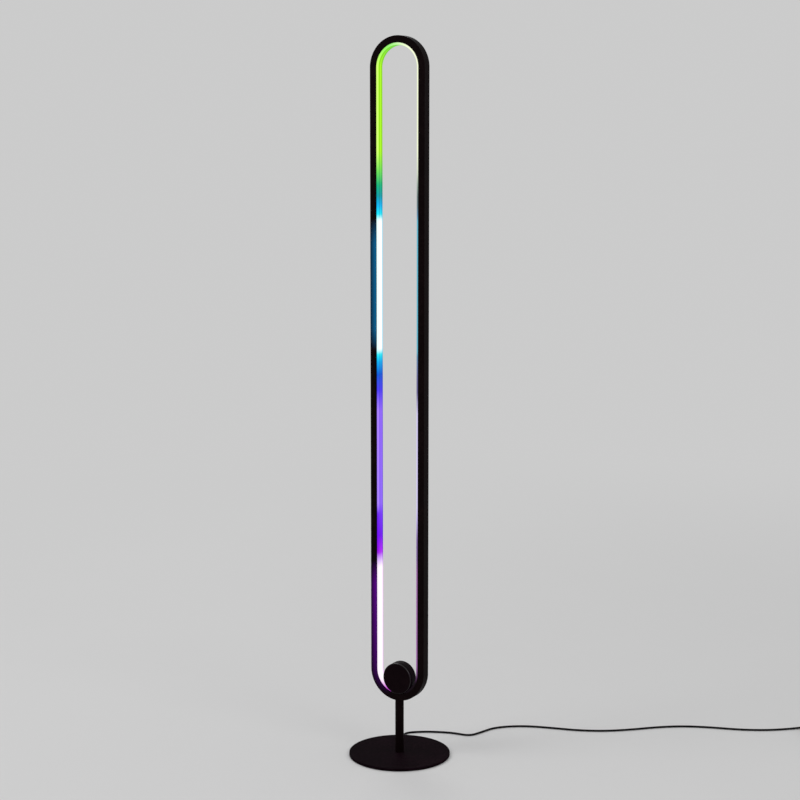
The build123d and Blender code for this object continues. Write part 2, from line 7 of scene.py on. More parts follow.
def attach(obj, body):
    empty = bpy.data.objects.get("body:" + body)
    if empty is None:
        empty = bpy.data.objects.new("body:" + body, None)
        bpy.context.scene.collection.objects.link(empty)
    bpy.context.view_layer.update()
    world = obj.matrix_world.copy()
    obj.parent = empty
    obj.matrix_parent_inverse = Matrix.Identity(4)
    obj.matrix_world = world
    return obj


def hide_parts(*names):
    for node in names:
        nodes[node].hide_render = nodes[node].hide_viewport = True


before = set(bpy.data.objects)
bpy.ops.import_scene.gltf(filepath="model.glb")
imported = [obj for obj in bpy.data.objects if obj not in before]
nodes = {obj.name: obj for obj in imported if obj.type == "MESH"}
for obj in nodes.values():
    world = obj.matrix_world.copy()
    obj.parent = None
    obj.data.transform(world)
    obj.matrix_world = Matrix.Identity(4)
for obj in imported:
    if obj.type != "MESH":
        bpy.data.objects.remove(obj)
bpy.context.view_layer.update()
scene = bpy.context.scene
scene.view_settings.view_transform = "Standard"
print("frame loaded with", len(nodes), "nodes")


# camera where the photograph was taken from
cameraSet = {
    "bearing": 29.443,
    "turn": 29.428,
    "distance": 3.4924,
    "height": 1.2488,
    "tiltDown": 8.708,
    "lens": 82.22,
    "sensor": 36.0,
    "farClip": 200.0,
}


def placeCamera(s):
    data = bpy.data.cameras.new("photoCamera")
    data.lens = s["lens"]
    data.sensor_width = s["sensor"]
    data.clip_end = s["farClip"]
    obj = bpy.data.objects.new("photoCamera", data)
    bearing = math.radians(s["bearing"])
    obj.location = (s["distance"] * math.sin(bearing), -s["distance"] * math.cos(bearing), s["height"])
    obj.rotation_euler = (math.radians(90 - s["tiltDown"]), 0, math.radians(s["turn"]))
    scene.collection.objects.link(obj)
    scene.camera = obj


placeCamera(cameraSet)
print("camera placed")


# shader sums: a socket that can be added, multiplied and so on
class Out:
    def __init__(self, shades, socket):
        self.shades = shades
        self.socket = socket

    def sum(self, how, first, second=0.0):
        return self.shades.node("Math", {"operation": how}, {0: first, 1: second})

    def __add__(self, other):
        return self.sum("ADD", self, other)

    def __radd__(self, other):
        return self.sum("ADD", other, self)

    def __sub__(self, other):
        return self.sum("SUBTRACT", self, other)

    def __rsub__(self, other):
        return self.sum("SUBTRACT", other, self)

    def __mul__(self, other):
        return self.sum("MULTIPLY", self, other)

    def __rmul__(self, other):
        return self.sum("MULTIPLY", other, self)

    def __truediv__(self, other):
        return self.sum("DIVIDE", self, other)

    def __abs__(self):
        return self.sum("ABSOLUTE", self)

    def least(self, other):
        return self.sum("MINIMUM", self, other)

    def most(self, other):
        return self.sum("MAXIMUM", self, other)

    def diagonal(self, other):      # length across two sides at right angles
        return self.sum("POWER", self * self + other * other, 0.5)

    def between(self, low, high):   # 0 gives low and 1 gives high
        return low + (high - low) * self

    def ease(self, low, high):      # 0 below low, 1 above high, smooth between
        setup = {"interpolation_type": "SMOOTHSTEP"}
        return self.shades.node("MapRange", setup, {"Value": self, "From Min": low, "From Max": high})


class Shades:
    def __init__(self, tree):
        self.tree = tree
        tree.nodes.clear()

    def node(self, kind, setup=None, links=None, out=0):
        made = self.tree.nodes.new("ShaderNode" + kind)
        for key, value in (setup or {}).items():
            if key == "stops":
                self.setStops(made.color_ramp, value)
            else:
                setattr(made, key, value)
        for key, value in (links or {}).items():
            if isinstance(value, Out):
                self.tree.links.new(value.socket, made.inputs[key])
            else:
                made.inputs[key].default_value = value
        return Out(self, made.outputs[out]) if made.outputs else made

    def setStops(self, ramp, stops):
        while len(ramp.elements) < len(stops):
            ramp.elements.new(1.0)
        for element, (place, colour) in zip(ramp.elements, sorted(stops)):
            element.position = place
            element.color = colour

    def place(self):                # object coordinates, in metres
        return self.node("TexCoord", out="Object")

    def normal(self):
        return self.node("NewGeometry", out="Normal")

    def parts(self, vector):
        made = self.node("SeparateXYZ", None, {0: vector})
        return [Out(self, socket) for socket in made.socket.node.outputs]

    def noise(self, scale, detail=3.0, rough=0.5, where=None):
        links = {"Vector": where or self.place(), "Scale": scale, "Detail": detail, "Roughness": rough}
        return self.node("TexNoise", None, links)

    def mix(self, share, first, second, how="MIX"):
        setup = {"data_type": "RGBA", "blend_type": how}
        return self.node("Mix", setup, {0: share, 6: first, 7: second}, out=2)

    def bump(self, height, strength, depth):
        return self.node("Bump", None, {"Height": height, "Strength": strength, "Distance": depth})


def tint(red, green, blue):         # screen colour to linear light
    parts = [part / 255 for part in (red, green, blue)]
    return (*[p / 12.92 if p <= 0.04045 else ((p + 0.055) / 1.055) ** 2.4 for p in parts], 1.0)


def grey(level):                    # linear light
    return (level, level, level, 1.0)


def newFinish(name):
    material = bpy.data.materials.new(name)
    material.use_nodes = True
    return material, Shades(material.node_tree)


def shine(shades, **links):         # principled shader and the output
    links = {key.replace("_", " "): value for key, value in links.items()}
    shader = shades.node("BsdfPrincipled", None, links)
    shades.node("OutputMaterial", None, {"Surface": shader})


# coats: two tones, a grain and a slight unevenness of gloss
coatSet = {
    "loopBlack": {"dark": (11, 4, 5), "light": (28, 17, 18), "gloss": (0.38, 0.52),
                  "specular": 0.022, "grain": 1500, "relief": 0.25, "depth": 0.00004},
    "baseBlack": {"dark": (13, 6, 10), "light": (37, 23, 30), "gloss": (0.56, 0.72),
                  "specular": 0.006, "grain": 1000, "relief": 0.60, "depth": 0.00014},
    "poleBlack": {"dark": (11, 4, 5), "light": (28, 17, 18), "gloss": (0.38, 0.52),
                  "specular": 0.025, "grain": 1500, "relief": 0.30, "depth": 0.00005},
    "drumBlack": {"dark": (12, 4, 7), "light": (26, 15, 18), "gloss": (0.34, 0.46),
                  "specular": 0.022, "grain": 2200, "relief": 0.30, "depth": 0.00004},
    "jacketBlack": {"dark": (10, 7, 9), "light": (24, 18, 21), "gloss": (0.42, 0.55),
                    "specular": 0.10, "grain": 1800, "relief": 0.50, "depth": 0.00004},
    "rubberBlack": {"dark": (16, 14, 14), "light": (32, 29, 29), "gloss": (0.70, 0.85),
                    "specular": 0.15, "grain": 1400, "relief": 0.60, "depth": 0.00006},
    "adapterBlack": {"dark": (18, 16, 16), "light": (34, 31, 31), "gloss": (0.46, 0.60),
                     "specular": 0.20, "grain": 1700, "relief": 0.60, "depth": 0.00010},
    "packageBlack": {"dark": (16, 16, 17), "light": (30, 30, 31), "gloss": (0.45, 0.60),
                     "specular": 0.25, "grain": 2400, "relief": 0.60, "depth": 0.00003},
    "nylonWhite": {"dark": (205, 203, 194), "light": (228, 226, 218), "gloss": (0.40, 0.50),
                   "specular": 0.40, "grain": 1600, "relief": 0.60, "depth": 0.00003},
    "flexWhite": {"dark": (222, 221, 214), "light": (240, 239, 234), "gloss": (0.45, 0.55),
                  "specular": 0.40, "grain": 900, "relief": 0.60, "depth": 0.00002},
    "tapeYellow": {"dark": (196, 160, 34), "light": (224, 190, 58), "gloss": (0.22, 0.34),
                   "specular": 0.50, "grain": 700, "relief": 0.60, "depth": 0.00003},
}
coatSet["dialBlack"] = dict(coatSet["drumBlack"])
speckSet = {    # how much coarser mottle and cloud are than the grain, and the share of each of the three
    "mottle": 6,
    "cloud": 60,
    "shares": (0.62, 0.20, 0.18),
    "limits": (0.462, 0.652),
}


def makeCoat(name, s, extra=None):
    material, shades = newFinish(name)
    grain = shades.noise(s["grain"], 4.0, 0.6)
    mottle = shades.noise(s["grain"] / speckSet["mottle"], 2.0)
    cloud = shades.noise(s["grain"] / speckSet["cloud"])
    fine, coarse, broad = speckSet["shares"]
    speck = (grain * fine + mottle * coarse + cloud * broad).ease(*speckSet["limits"])
    shine(
        shades,
        Base_Color=shades.mix(speck, tint(*s["dark"]), tint(*s["light"])),
        Roughness=cloud.between(*s["gloss"]),
        Specular_IOR_Level=s["specular"],
        Normal=shades.bump(grain, s["relief"], s["depth"]),
        **(extra(shades) if extra else {}),
    )
    return material


# painted glow: the light of the two white stretches, painted as emission on the loop's black face beside
# them
spillSet = {
    "lowBend": 0.173,
    "highBend": 1.347,
    "inner": 0.0458,
    "width": 0.0134,
    "fade": (-0.3, 1.3),            # shares of the face's width
    "side": (-0.030, -0.010),
    "front": (0.3, 0.9),
    "stops": {
        0.120: "none", 0.200: "deepPlum", 0.345: "plum", 0.392: "none",
        0.810: "none", 0.850: "petrol", 1.015: "petrol", 1.062: "none",
    },
    "colours": {"none": (0, 0, 0), "deepPlum": (70, 0, 104), "plum": (92, 0, 138), "petrol": (0, 99, 148)},
}


def byHeight(shades, z, stops, colours):     # named colours up the lamp's height
    low, high = min(stops), max(stops)
    placed = [((height - low) / (high - low), tint(*colours[word])) for height, word in stops.items()]
    return shades.node("ValToRGB", {"stops": placed}, {"Fac": (z - low) / (high - low)})


def spillGlow(shades):
    s = spillSet
    x, y, z = shades.parts(shades.place())
    facing = shades.parts(shades.normal())[1]
    bend = (z - s["lowBend"]).least(0.0) + (z - s["highBend"]).most(0.0)
    across = (x.diagonal(bend) - s["inner"]) / s["width"]
    share = (1.0 - across.ease(*s["fade"])) * (1.0 - x.ease(*s["side"])) * (-1.0 * facing).ease(*s["front"])
    colour = shades.mix(share, grey(0.0), byHeight(shades, z, s["stops"], s["colours"]))
    return {"Emission_Color": colour, "Emission_Strength": 1.0}


# lacquered round of the dial's front rim
rimSet = {
    "axisHeight": 0.1585,
    "radius": 0.0300,
    "front": -0.0098,
    "blend": 0.0003,
    "gloss": 0.10,
    "index": 1.5,
}


def rimLacquer(shades):
    s = rimSet
    x, y, z = shades.parts(shades.place())
    out = x.diagonal(z - s["axisHeight"])
    rim = out.ease(s["radius"] - s["blend"], s["radius"] + s["blend"])
    rim = rim * (1.0 - y.ease(s["front"] - s["blend"], s["front"] + s["blend"]))
    return {"Coat_Weight": rim, "Coat_Roughness": s["gloss"], "Coat_IOR": s["index"]}


# bare metals: fine drawn lines along one axis, or an even grain where cast
metalSet = {
    "zincSteel": {"dark": (150, 150, 152), "light": (196, 196, 198), "gloss": (0.24, 0.38),
                  "lines": (900, 900, 60)},
    "canMetal": {"dark": (165, 165, 168), "light": (205, 205, 208), "gloss": (0.28, 0.40),
                 "lines": (600, 60, 600)},
    "castZinc": {"dark": (140, 140, 142), "light": (178, 178, 180), "gloss": (0.38, 0.52),
                 "lines": (700, 700, 700)},
    "bladeBrass": {"dark": (178, 152, 98), "light": (214, 190, 134), "gloss": (0.22, 0.34),
                   "lines": (60, 60, 900)},
}
lineSet = {"limits": (0.3, 0.7), "relief": 0.3, "depth": 0.00002}


def makeMetal(name, s):
    material, shades = newFinish(name)
    spread = shades.node("VectorMath", {"operation": "MULTIPLY"}, {0: shades.place(), 1: s["lines"]})
    lines = shades.noise(1.0, 4.0, 0.6, spread)
    shine(
        shades,
        Base_Color=shades.mix(lines.ease(*lineSet["limits"]), tint(*s["dark"]), tint(*s["light"])),
        Metallic=1.0,
        Roughness=lines.between(*s["gloss"]),
        Normal=shades.bump(lines, lineSet["relief"], lineSet["depth"]),
    )
    return material


# circuit board: green mask over copper tracks
boardSet = {
    "mask": (14, 74, 34),
    "track": (24, 104, 50),
    "gloss": (0.28, 0.38),
    "pitch": 420,
    "limits": (0.30, 0.36),
    "relief": 0.4,
    "depth": 0.00004,
}


def makeBoard(name, s):
    material, shades = newFinish(name)
    weave = shades.node("TexVoronoi", {"feature": "F1", "distance": "CHEBYCHEV"},
                        {"Vector": shades.place(), "Scale": s["pitch"]})
    tracks = weave.ease(*s["limits"])
    shine(
        shades,
        Base_Color=shades.mix(tracks, tint(*s["mask"]), tint(*s["track"])),
        Roughness=tracks.between(*s["gloss"]),
        Normal=shades.bump(tracks, s["relief"], s["depth"]),
    )
    return material


# light strip: one run of colours up the lamp, in other tones on the two side walls and the rear edge
glowSet = {
    "stops": {
        0.118: "dusk", 0.135: "orchid", 0.150: "rose", 0.378: "rose", 0.408: "purple", 0.443: "violet",
        0.486: "iris", 0.506: "lavender", 0.690: "lavender", 0.731: "indigo", 0.762: "blue", 0.786: "sky",
        0.801: "aqua", 0.812: "white", 1.059: "white", 1.069: "aqua", 1.088: "lagoon", 1.106: "teal",
        1.128: "jade", 1.151: "leaf", 1.190: "lime", 1.350: "lime", 1.395: "mint",
    },
    "face": {
        "dusk": (96, 60, 104), "orchid": (206, 64, 218), "rose": (255, 250, 255),
        "purple": (178, 38, 250), "violet": (112, 8, 240), "iris": (118, 52, 250),
        "lavender": (144, 102, 250), "indigo": (74, 58, 241), "blue": (4, 86, 212),
        "sky": (10, 166, 236), "aqua": (30, 234, 248), "white": (255, 255, 255),
        "lagoon": (8, 174, 236), "teal": (8, 154, 162), "jade": (18, 177, 114),
        "leaf": (102, 216, 86), "lime": (168, 246, 28), "mint": (98, 216, 46),
    },
    "leftWall": {
        "rose": (255, 238, 255), "purple": (152, 18, 224), "iris": (108, 38, 234),
        "lavender": (168, 128, 254), "white": (232, 255, 255), "lime": (208, 254, 112),
        "mint": (112, 236, 90),
    },
    "rightWall": {
        "dusk": (60, 40, 62), "orchid": (98, 64, 100), "rose": (148, 94, 156),
        "purple": (118, 90, 146), "violet": (126, 97, 158), "iris": (190, 176, 230),
        "lavender": (206, 198, 237), "indigo": (105, 98, 144), "blue": (106, 104, 148),
        "sky": (106, 124, 166), "aqua": (92, 136, 168), "white": (96, 174, 196),
        "lagoon": (97, 119, 125), "teal": (101, 115, 115), "jade": (142, 158, 147),
        "leaf": (206, 214, 192), "lime": (238, 244, 211), "mint": (244, 250, 214),
    },
    "rightFade": (0.152, 0.196),
    "rearEdge": {"rose": (246, 186, 252), "white": (104, 214, 247), "aqua": (150, 218, 244)},
    "rearPlain": (214, 220, 234),
    "rearFrom": (0.0034, 0.0070),
    "endStops": {0.138: "night", 0.160: "plum", 0.180: "orchid", 0.206: "rose"},
    "endColours": {
        "night": (14, 4, 12), "plum": (60, 12, 62), "orchid": (214, 60, 220), "rose": (255, 250, 255),
    },
    "endSide": (0.0, 0.010),
    "endTop": (0.208, 0.216),
    "dip": 0.30,                    # darker between the middle line and the edges
    "dipFrom": (0.0010, 0.0044),
    "dipUntil": (0.0052, 0.0066),
    "turn": (-0.030, 0.030),        # from the left wall's colours to the right wall's
    "footTurn": 8.0,                # this many times sharper at the drum
    "footTop": (0.25, 0.35),
    "wallFrom": (0.25, 0.85),
    "unlit": 0.004,
    "unlitShare": 0.88,
    "gloss": (0.42, 0.48),
    "grain": 700,
    "specular": 0.06,
}


def makeGlow(name, s):
    material, shades = newFinish(name)
    x, y, z = shades.parts(shades.place())
    facing = shades.parts(shades.normal())[1]

    def run(colours, others=None):
        return byHeight(shades, z, s["stops"], {word: colours.get(word, others) for word in s["face"]})

    across = abs(y)
    trough = across.ease(*s["dipFrom"]) * (1.0 - across.ease(*s["dipUntil"]))
    face = run(s["face"])
    red, green, blue = shades.parts(face)
    level = 1.0 - s["dip"] * trough * (1.0 - red.least(green).least(blue))      # white stretches stay even
    level = shades.node("CombineXYZ", None, {0: level, 1: level, 2: level})
    face = shades.mix(1.0, face, level, "MULTIPLY")
    face = shades.mix(y.ease(*s["rearFrom"]), face, run(s["rearEdge"], s["rearPlain"]), "MULTIPLY")
    ending = x.ease(*s["endSide"]) * (1.0 - z.ease(*s["endTop"]))
    face = shades.mix(ending, face, byHeight(shades, z, s["endStops"], s["endColours"]))
    rightWall = shades.mix(z.ease(*s["rightFade"]), tint(*s["endColours"]["night"]), run(s["rightWall"]))
    turn = (x * z.ease(*s["footTop"]).between(s["footTurn"], 1.0)).ease(*s["turn"])
    wall = shades.mix(turn, run({**s["face"], **s["leftWall"]}), rightWall)
    light = shades.mix(abs(facing).ease(*s["wallFrom"]), face, wall)
    shine(
        shades,
        Base_Color=shades.mix(s["unlitShare"], light, grey(s["unlit"])),
        Roughness=shades.noise(s["grain"]).between(*s["gloss"]),
        Specular_IOR_Level=s["specular"],
        Emission_Color=light,
        Emission_Strength=1.0,
    )
    return material


# chip lenses: pale phosphor with brighter spots
lensSet = {
    "dim": (214, 206, 168),
    "bright": (246, 240, 200),
    "gloss": (0.18, 0.28),
    "scale": 300,
    "limits": (0.35, 0.65),
}


def makeLens(name, s):
    material, shades = newFinish(name)
    spots = shades.noise(s["scale"], 2.0)
    shine(
        shades,
        Base_Color=shades.mix(spots.ease(*s["limits"]), tint(*s["dim"]), tint(*s["bright"])),
        Roughness=spots.between(*s["gloss"]),
    )
    return material


# the loop's black coat also carries the painted glow; the dial's rim gets a real gloss coat
extras = {"loopBlack": spillGlow, "dialBlack": rimLacquer}
finishes = {name: makeCoat(name, s, extras.get(name)) for name, s in coatSet.items()}
finishes.update({name: makeMetal(name, s) for name, s in metalSet.items()})
finishes["maskGreen"] = makeBoard("maskGreen", boardSet)
finishes["opalGlow"] = makeGlow("opalGlow", glowSet)
finishes["chipLens"] = makeLens("chipLens", lensSet)

nodeFinish = {
    "loopBlack": ("loop_left_leg", "loop_right_leg", "loop_top_bend", "loop_bottom_bend"),
    "baseBlack": ("base_plate",),
    "poleBlack": ("pole_tube",),
    "drumBlack": ("drum_housing", "drum_back_cover"),
    "dialBlack": ("control_dial",),
    "opalGlow": ("diffuser_left_leg", "diffuser_right_leg", "diffuser_top_bend", "diffuser_left_end",
                 "diffuser_right_end"),
    "rubberBlack": ("base_pad", "cord_grommet", "coil_tie", "adapter_strain_relief"),
    "jacketBlack": ("supply_lead", "strip_lead", "power_cord", "cord_coil"),
    "adapterBlack": ("adapter_shell", "adapter_face"),
    "packageBlack": ("upper_bushing", "control_chip"),
    "nylonWhite": ("power_terminal", "strip_connector", "encoder_rotor"),
    "flexWhite": ("led_strip",),
    "chipLens": ("led_chips",),
    "zincSteel": ("base_hub", "threaded_tube", "cover_screws", "board_screws", "encoder_nut", "switch_dome",
                  "encoder_shaft"),
    "canMetal": ("filter_capacitor", "adapter_capacitors"),
    "castZinc": ("encoder_body",),
    "bladeBrass": ("adapter_blades",),
    "tapeYellow": ("adapter_transformer",),
    "maskGreen": ("controller_board", "adapter_board"),
}


def paint(obj, finish):
    obj.data.materials.clear()
    obj.data.materials.append(finishes[finish])


for finish, names in nodeFinish.items():
    for name in names:
        paint(nodes[name], finish)
print("finishes made:", len(finishes))


# meshes: what every new piece needs
def onCircle(radius, angle):
    return radius * math.cos(angle), radius * math.sin(angle)


def addMesh(name, mesh, finish, replaced):
    data = bpy.data.meshes.new(name)
    mesh.to_mesh(data)
    mesh.free()
    obj = bpy.data.objects.new(name, data)
    scene.collection.objects.link(obj)
    paint(obj, finish)
    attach(obj, "lamp")
    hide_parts(replaced)
    return obj


def lathe(mesh, profile, place, steps=40):      # closed round body from heights and radii
    rings = []
    for along, radius in profile:
        corners = [(*onCircle(radius, 2 * math.pi * step / steps), along) for step in range(steps)]
        rings.append([mesh.verts.new(place @ Vector(corner)) for corner in corners])
    for one, two in zip(rings, rings[1:]):
        for step in range(steps):
            after = (step + 1) % steps
            mesh.faces.new((one[step], one[after], two[after], two[step]))
    mesh.faces.new(reversed(rings[0]))
    mesh.faces.new(rings[-1])


# cord: one smooth line along the floor into its coil
cordSet = {
    "diameter": 0.004,
    "length": 1.8,
    "height": 0.0022,
    "notchAngle": 24.9,
    "exitRadius": 0.102,
    "exitRun": 0.010,
    "coilRun": 0.020,
    "lineSteps": 6,
    "roundSteps": 5,
    "route": (
        (-0.0473, 0.1123), (-0.0378, 0.1239), (-0.0184, 0.1383), (0.0070, 0.1504), (0.0381, 0.1604),
        (0.0748, 0.1605), (0.0859, 0.1977), (0.0943, 0.2277), (0.1185, 0.2540), (0.1546, 0.2755),
        (0.2023, 0.2887), (0.2549, 0.3011), (0.3057, 0.3252), (0.3495, 0.3614), (0.3892, 0.4010),
        (0.4350, 0.4338), (0.4877, 0.4543), (0.5416, 0.4686), (0.5906, 0.4917), (0.6302, 0.5232),
    ),
}
coilSet = {
    "center": (0.6905, 0.5303),
    "heading": 29.4,
    "innerRadius": 0.0155,
    "pitch": 0.0052,
    "turnsIn": 3.0,
    "climb": 0.5,
    "turnsOut": 2.75,
    "height": 0.0031,
    "pointsPerTurn": 20,
}
coilPlace = Matrix.Translation((*coilSet["center"], 0))
coilPlace = coilPlace @ Matrix.Rotation(math.radians(coilSet["heading"]), 4, "Z")
coilOuter = coilSet["innerRadius"] + coilSet["pitch"] * coilSet["turnsIn"]
coilEnd = coilSet["innerRadius"] + coilSet["pitch"] * coilSet["turnsOut"]
coilTop = coilSet["height"] + coilSet["pitch"]


def coilPoint(turn):                # inwards on the floor, up by one layer, then outwards
    s = coilSet
    lift = 0.0
    radius = coilOuter - s["pitch"] * turn
    if turn > s["turnsIn"]:
        share = min(1.0, (turn - s["turnsIn"]) / s["climb"])
        lift = share * share * (3 - 2 * share)
        radius = s["innerRadius"] + s["pitch"] * max(0.0, turn - s["turnsIn"] - s["climb"])
    angle = math.radians(90 - 360 * turn)
    return Vector((*onCircle(radius, angle), s["height"] + s["pitch"] * lift))


def cordPoints(s):
    notch = math.radians(s["notchAngle"])
    away = Vector((-math.sin(notch), math.cos(notch), 0))
    up = Vector((0, 0, s["height"]))
    points = [away * s["exitRadius"] + up, away * (s["exitRadius"] + s["exitRun"]) + up]
    points += [Vector((x, y, s["height"])) for x, y in s["route"]]
    start = coilPoint(0)
    for back in (s["diameter"] + s["coilRun"], s["diameter"]):
        points.append(coilPlace @ (start - Vector((back, 0, 0))))
    turns = coilSet["turnsIn"] + coilSet["climb"] + coilSet["turnsOut"]
    count = round(turns * coilSet["pointsPerTurn"])
    points += [coilPlace @ coilPoint(turns * step / count) for step in range(count + 1)]
    points.append(coilPlace @ (coilPoint(turns) - Vector((0, s["diameter"], 0))))
    return points


def makeCord(s):
    curve = bpy.data.curves.new("powerCord", "CURVE")
    curve.dimensions = "3D"
    curve.resolution_u = s["lineSteps"]
    curve.bevel_depth = s["diameter"] / 2
    curve.bevel_resolution = s["roundSteps"]
    curve.use_fill_caps = True
    points = cordPoints(s)
    spline = curve.splines.new("NURBS")
    spline.points.add(len(points) - 1)
    for point, where in zip(spline.points, points):
        point.co = (*where, 1.0)
    spline.order_u = 3
    spline.use_endpoint_u = True
    obj = bpy.data.objects.new("powerCord", curve)
    scene.collection.objects.link(obj)
    paint(obj, "jacketBlack")
    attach(obj, "lamp")
    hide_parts("power_cord", "cord_coil")
    return obj, points


# ribbed boot where the lead enters the adapter
bootSet = {
    "length": 0.025,
    "small": 0.0028,
    "large": 0.0045,
    "lip": 0.0004,
    "collar": 0.006,
    "collarFoot": 0.0002,
    "collarStep": 0.0006,
    "ribs": 7,
    "ribShape": (                   # shares of a rib's pitch
        (0.04, "edge"), (0.12, "crest"), (0.58, "crest"),
        (0.66, "edge"), (0.70, "groove"), (0.96, "groove"),
    ),
    "depths": {"crest": 0.0, "edge": 0.0003, "groove": 0.0007},
}


def makeBoot(s):
    place = coilPlace @ Matrix.Translation((coilEnd, -cordSet["diameter"], coilTop))
    place = place @ Matrix.Rotation(math.radians(90), 4, "X")
    ribbed = s["length"] - s["collar"]
    pitch = ribbed / s["ribs"]

    def taper(along):
        return s["small"] + (s["large"] - s["small"]) * along / s["length"]

    profile = [(0.0, s["small"] - s["lip"])]
    for rib in range(s["ribs"]):
        for share, level in s["ribShape"]:
            along = (rib + share) * pitch
            profile.append((along, taper(along) - s["depths"][level]))
    profile.append((ribbed + s["collarFoot"], taper(ribbed) - s["collarFoot"]))
    profile += [(ribbed + s["collarStep"], s["large"]), (s["length"], s["large"])]
    mesh = bmesh.new()
    lathe(mesh, profile, place)
    return addMesh("leadBoot", mesh, "rubberBlack", "adapter_strain_relief")


# strap drawn close round the coil, its tail lapped over the top
tieSet = {
    "angle": 215.0,
    "width": 0.008,
    "thickness": 0.0008,
    "corner": 0.0016,
    "bevel": 0.00018,
    "tailShare": 0.92,              # of the strap's width
    "section": ((0.0318, 0.0004), (0.0318, 0.0056), (0.0276, 0.0109), (0.0130, 0.0109), (0.0130, 0.0004)),
    "tail": ((0.0150, 0.0117), (0.0180, 0.0117), (0.0215, 0.0117), (0.0240, 0.0119), (0.0256, 0.0122)),
}


def roundCorners(corners, size, steps=6):
    line = []
    for index, here in enumerate(corners):
        here = Vector(here)
        start = here + (Vector(corners[index - 1]) - here).normalized() * size
        end = here + (Vector(corners[(index + 1) % len(corners)]) - here).normalized() * size
        for step in range(steps + 1):
            share = step / steps
            line.append(start.lerp(here, share).lerp(here.lerp(end, share), share))
    return line


def addStrap(mesh, line, width, thickness, place, closed):
    rows = []
    count = len(line)
    for index, (x, z) in enumerate(line):
        before = line[index - 1] if closed or index else line[index]
        after = line[(index + 1) % count] if closed or index < count - 1 else line[index]
        way = (after - before).normalized()
        out = Vector((way.y, -way.x)) * thickness / 2
        row = []
        for side, y in ((1, -width / 2), (1, width / 2), (-1, width / 2), (-1, -width / 2)):
            row.append(mesh.verts.new(place @ Vector((x + side * out.x, y, z + side * out.y))))
        rows.append(row)
    pairs = zip(rows, rows[1:] + rows[:1]) if closed else zip(rows, rows[1:])
    for one, two in pairs:
        for corner in range(4):
            beside = (corner + 1) % 4
            mesh.faces.new((one[corner], one[beside], two[beside], two[corner]))
    if not closed:
        mesh.faces.new(reversed(rows[0]))
        mesh.faces.new(rows[-1])


def makeTie(s):
    place = coilPlace @ Matrix.Rotation(math.radians(s["angle"]), 4, "Z")
    tail = [Vector(point) for point in s["tail"]]
    mesh = bmesh.new()
    addStrap(mesh, roundCorners(s["section"], s["corner"]), s["width"], s["thickness"], place, True)
    addStrap(mesh, tail, s["width"] * s["tailShare"], s["thickness"], place, False)
    tie = addMesh("coilStrap", mesh, "rubberBlack", "coil_tie")
    bevel = tie.modifiers.new("edges", "BEVEL")
    bevel.width = s["bevel"]
    bevel.segments = 2
    return tie


# back cover's screws: flush heads with a cross recess
screwSet = {
    "axisHeight": 0.1585,
    "backFace": 0.0109,
    "ring": 0.026,
    "angles": (90, 210, 330),
    "turnShare": 0.37,              # each recess turned by this share of its screw's angle
    "headRadius": 0.0022,
    "headRise": 0.0011,
    "headSteps": 40,
    "bevel": 0.00006,
    "slotHalf": 0.00035,
    "slotReach": 0.0013,
    "slotDepth": 0.0006,
    "slotPoint": 0.0001,
    "shankRadius": 0.0012,
    "shankLength": 0.0048,
    "shankSteps": 32,
    "neck": 0.0001,
    "threadStart": 0.0003,
    "threadPitch": 0.0004,
    "threadTurns": 9,
    "rootShare": 0.82,
    "tipShare": 0.5,
}


def crossTop(s):                    # top of the head with the cross cut out of it
    curve = bpy.data.curves.new("screwTop", "CURVE")
    curve.dimensions = "2D"
    curve.fill_mode = "BOTH"
    curve.extrude = s["slotDepth"] / 2
    curve.bevel_depth = s["bevel"]
    half, reach = s["slotHalf"], s["slotReach"]
    cross = []
    for quarter in range(4):
        turn = Matrix.Rotation(math.radians(90 * quarter), 2)
        cross += [turn @ Vector(point) for point in ((half, half), (half, reach), (-half, reach))]
    step = 2 * math.pi / s["headSteps"]
    rim = [onCircle(s["headRadius"], step * index) for index in range(s["headSteps"])]
    for line in (rim, cross):
        spline = curve.splines.new("POLY")
        spline.points.add(len(line) - 1)
        for point, (x, y) in zip(spline.points, line):
            point.co = (x, y, 0, 1)
        spline.use_cyclic_u = True
    holder = bpy.data.objects.new("screwTop", curve)
    made = bpy.data.meshes.new_from_object(holder)
    bpy.data.objects.remove(holder)
    return made


def screwProfile(s):                # from the tip up to the floor of the recess
    seat, radius = -s["headRise"], s["shankRadius"]
    profile = [(-s["slotDepth"], s["slotPoint"]), (-s["slotDepth"], s["headRadius"])]
    profile += [(seat, s["headRadius"]), (seat - s["neck"], radius)]
    for turn in range(s["threadTurns"]):
        start = seat - s["threadStart"] - turn * s["threadPitch"]
        profile += [(start, radius), (start - s["threadPitch"] / 2, radius * s["rootShare"])]
    profile.append((seat - s["shankLength"], radius * s["tipShare"]))
    return profile[::-1]


def makeScrews(s):
    top = crossTop(s)
    mesh = bmesh.new()
    for angle in s["angles"]:
        x, z = onCircle(s["ring"], math.radians(angle))
        place = Matrix.Translation((x, s["backFace"], s["axisHeight"] + z))
        place = place @ Matrix.Rotation(math.radians(-90), 4, "X")
        place = place @ Matrix.Rotation(math.radians(angle * s["turnShare"]), 4, "Z")
        head = top.copy()
        head.transform(place @ Matrix.Translation((0, 0, -s["slotDepth"] / 2)))
        mesh.from_mesh(head)
        bpy.data.meshes.remove(head)
        lathe(mesh, screwProfile(s), place, s["shankSteps"])
    return addMesh("coverScrews", mesh, "zincSteel", "cover_screws")


# foam foot pad under the base, ringed with shallow grooves and open where the lead comes out
padSet = {
    "inner": 0.020,
    "outer": 0.098,
    "thickness": 0.0008,
    "edge": 0.0003,
    "edgeShare": 0.3,               # where the rounded edge has its middle point
    "rim": 0.003,
    "groove": 0.002,
    "pitch": 0.006,
    "grooveDepth": 0.0003,
    "slotHalf": 0.0045,
    "steps": 120,
    "fill": 1.0,
}


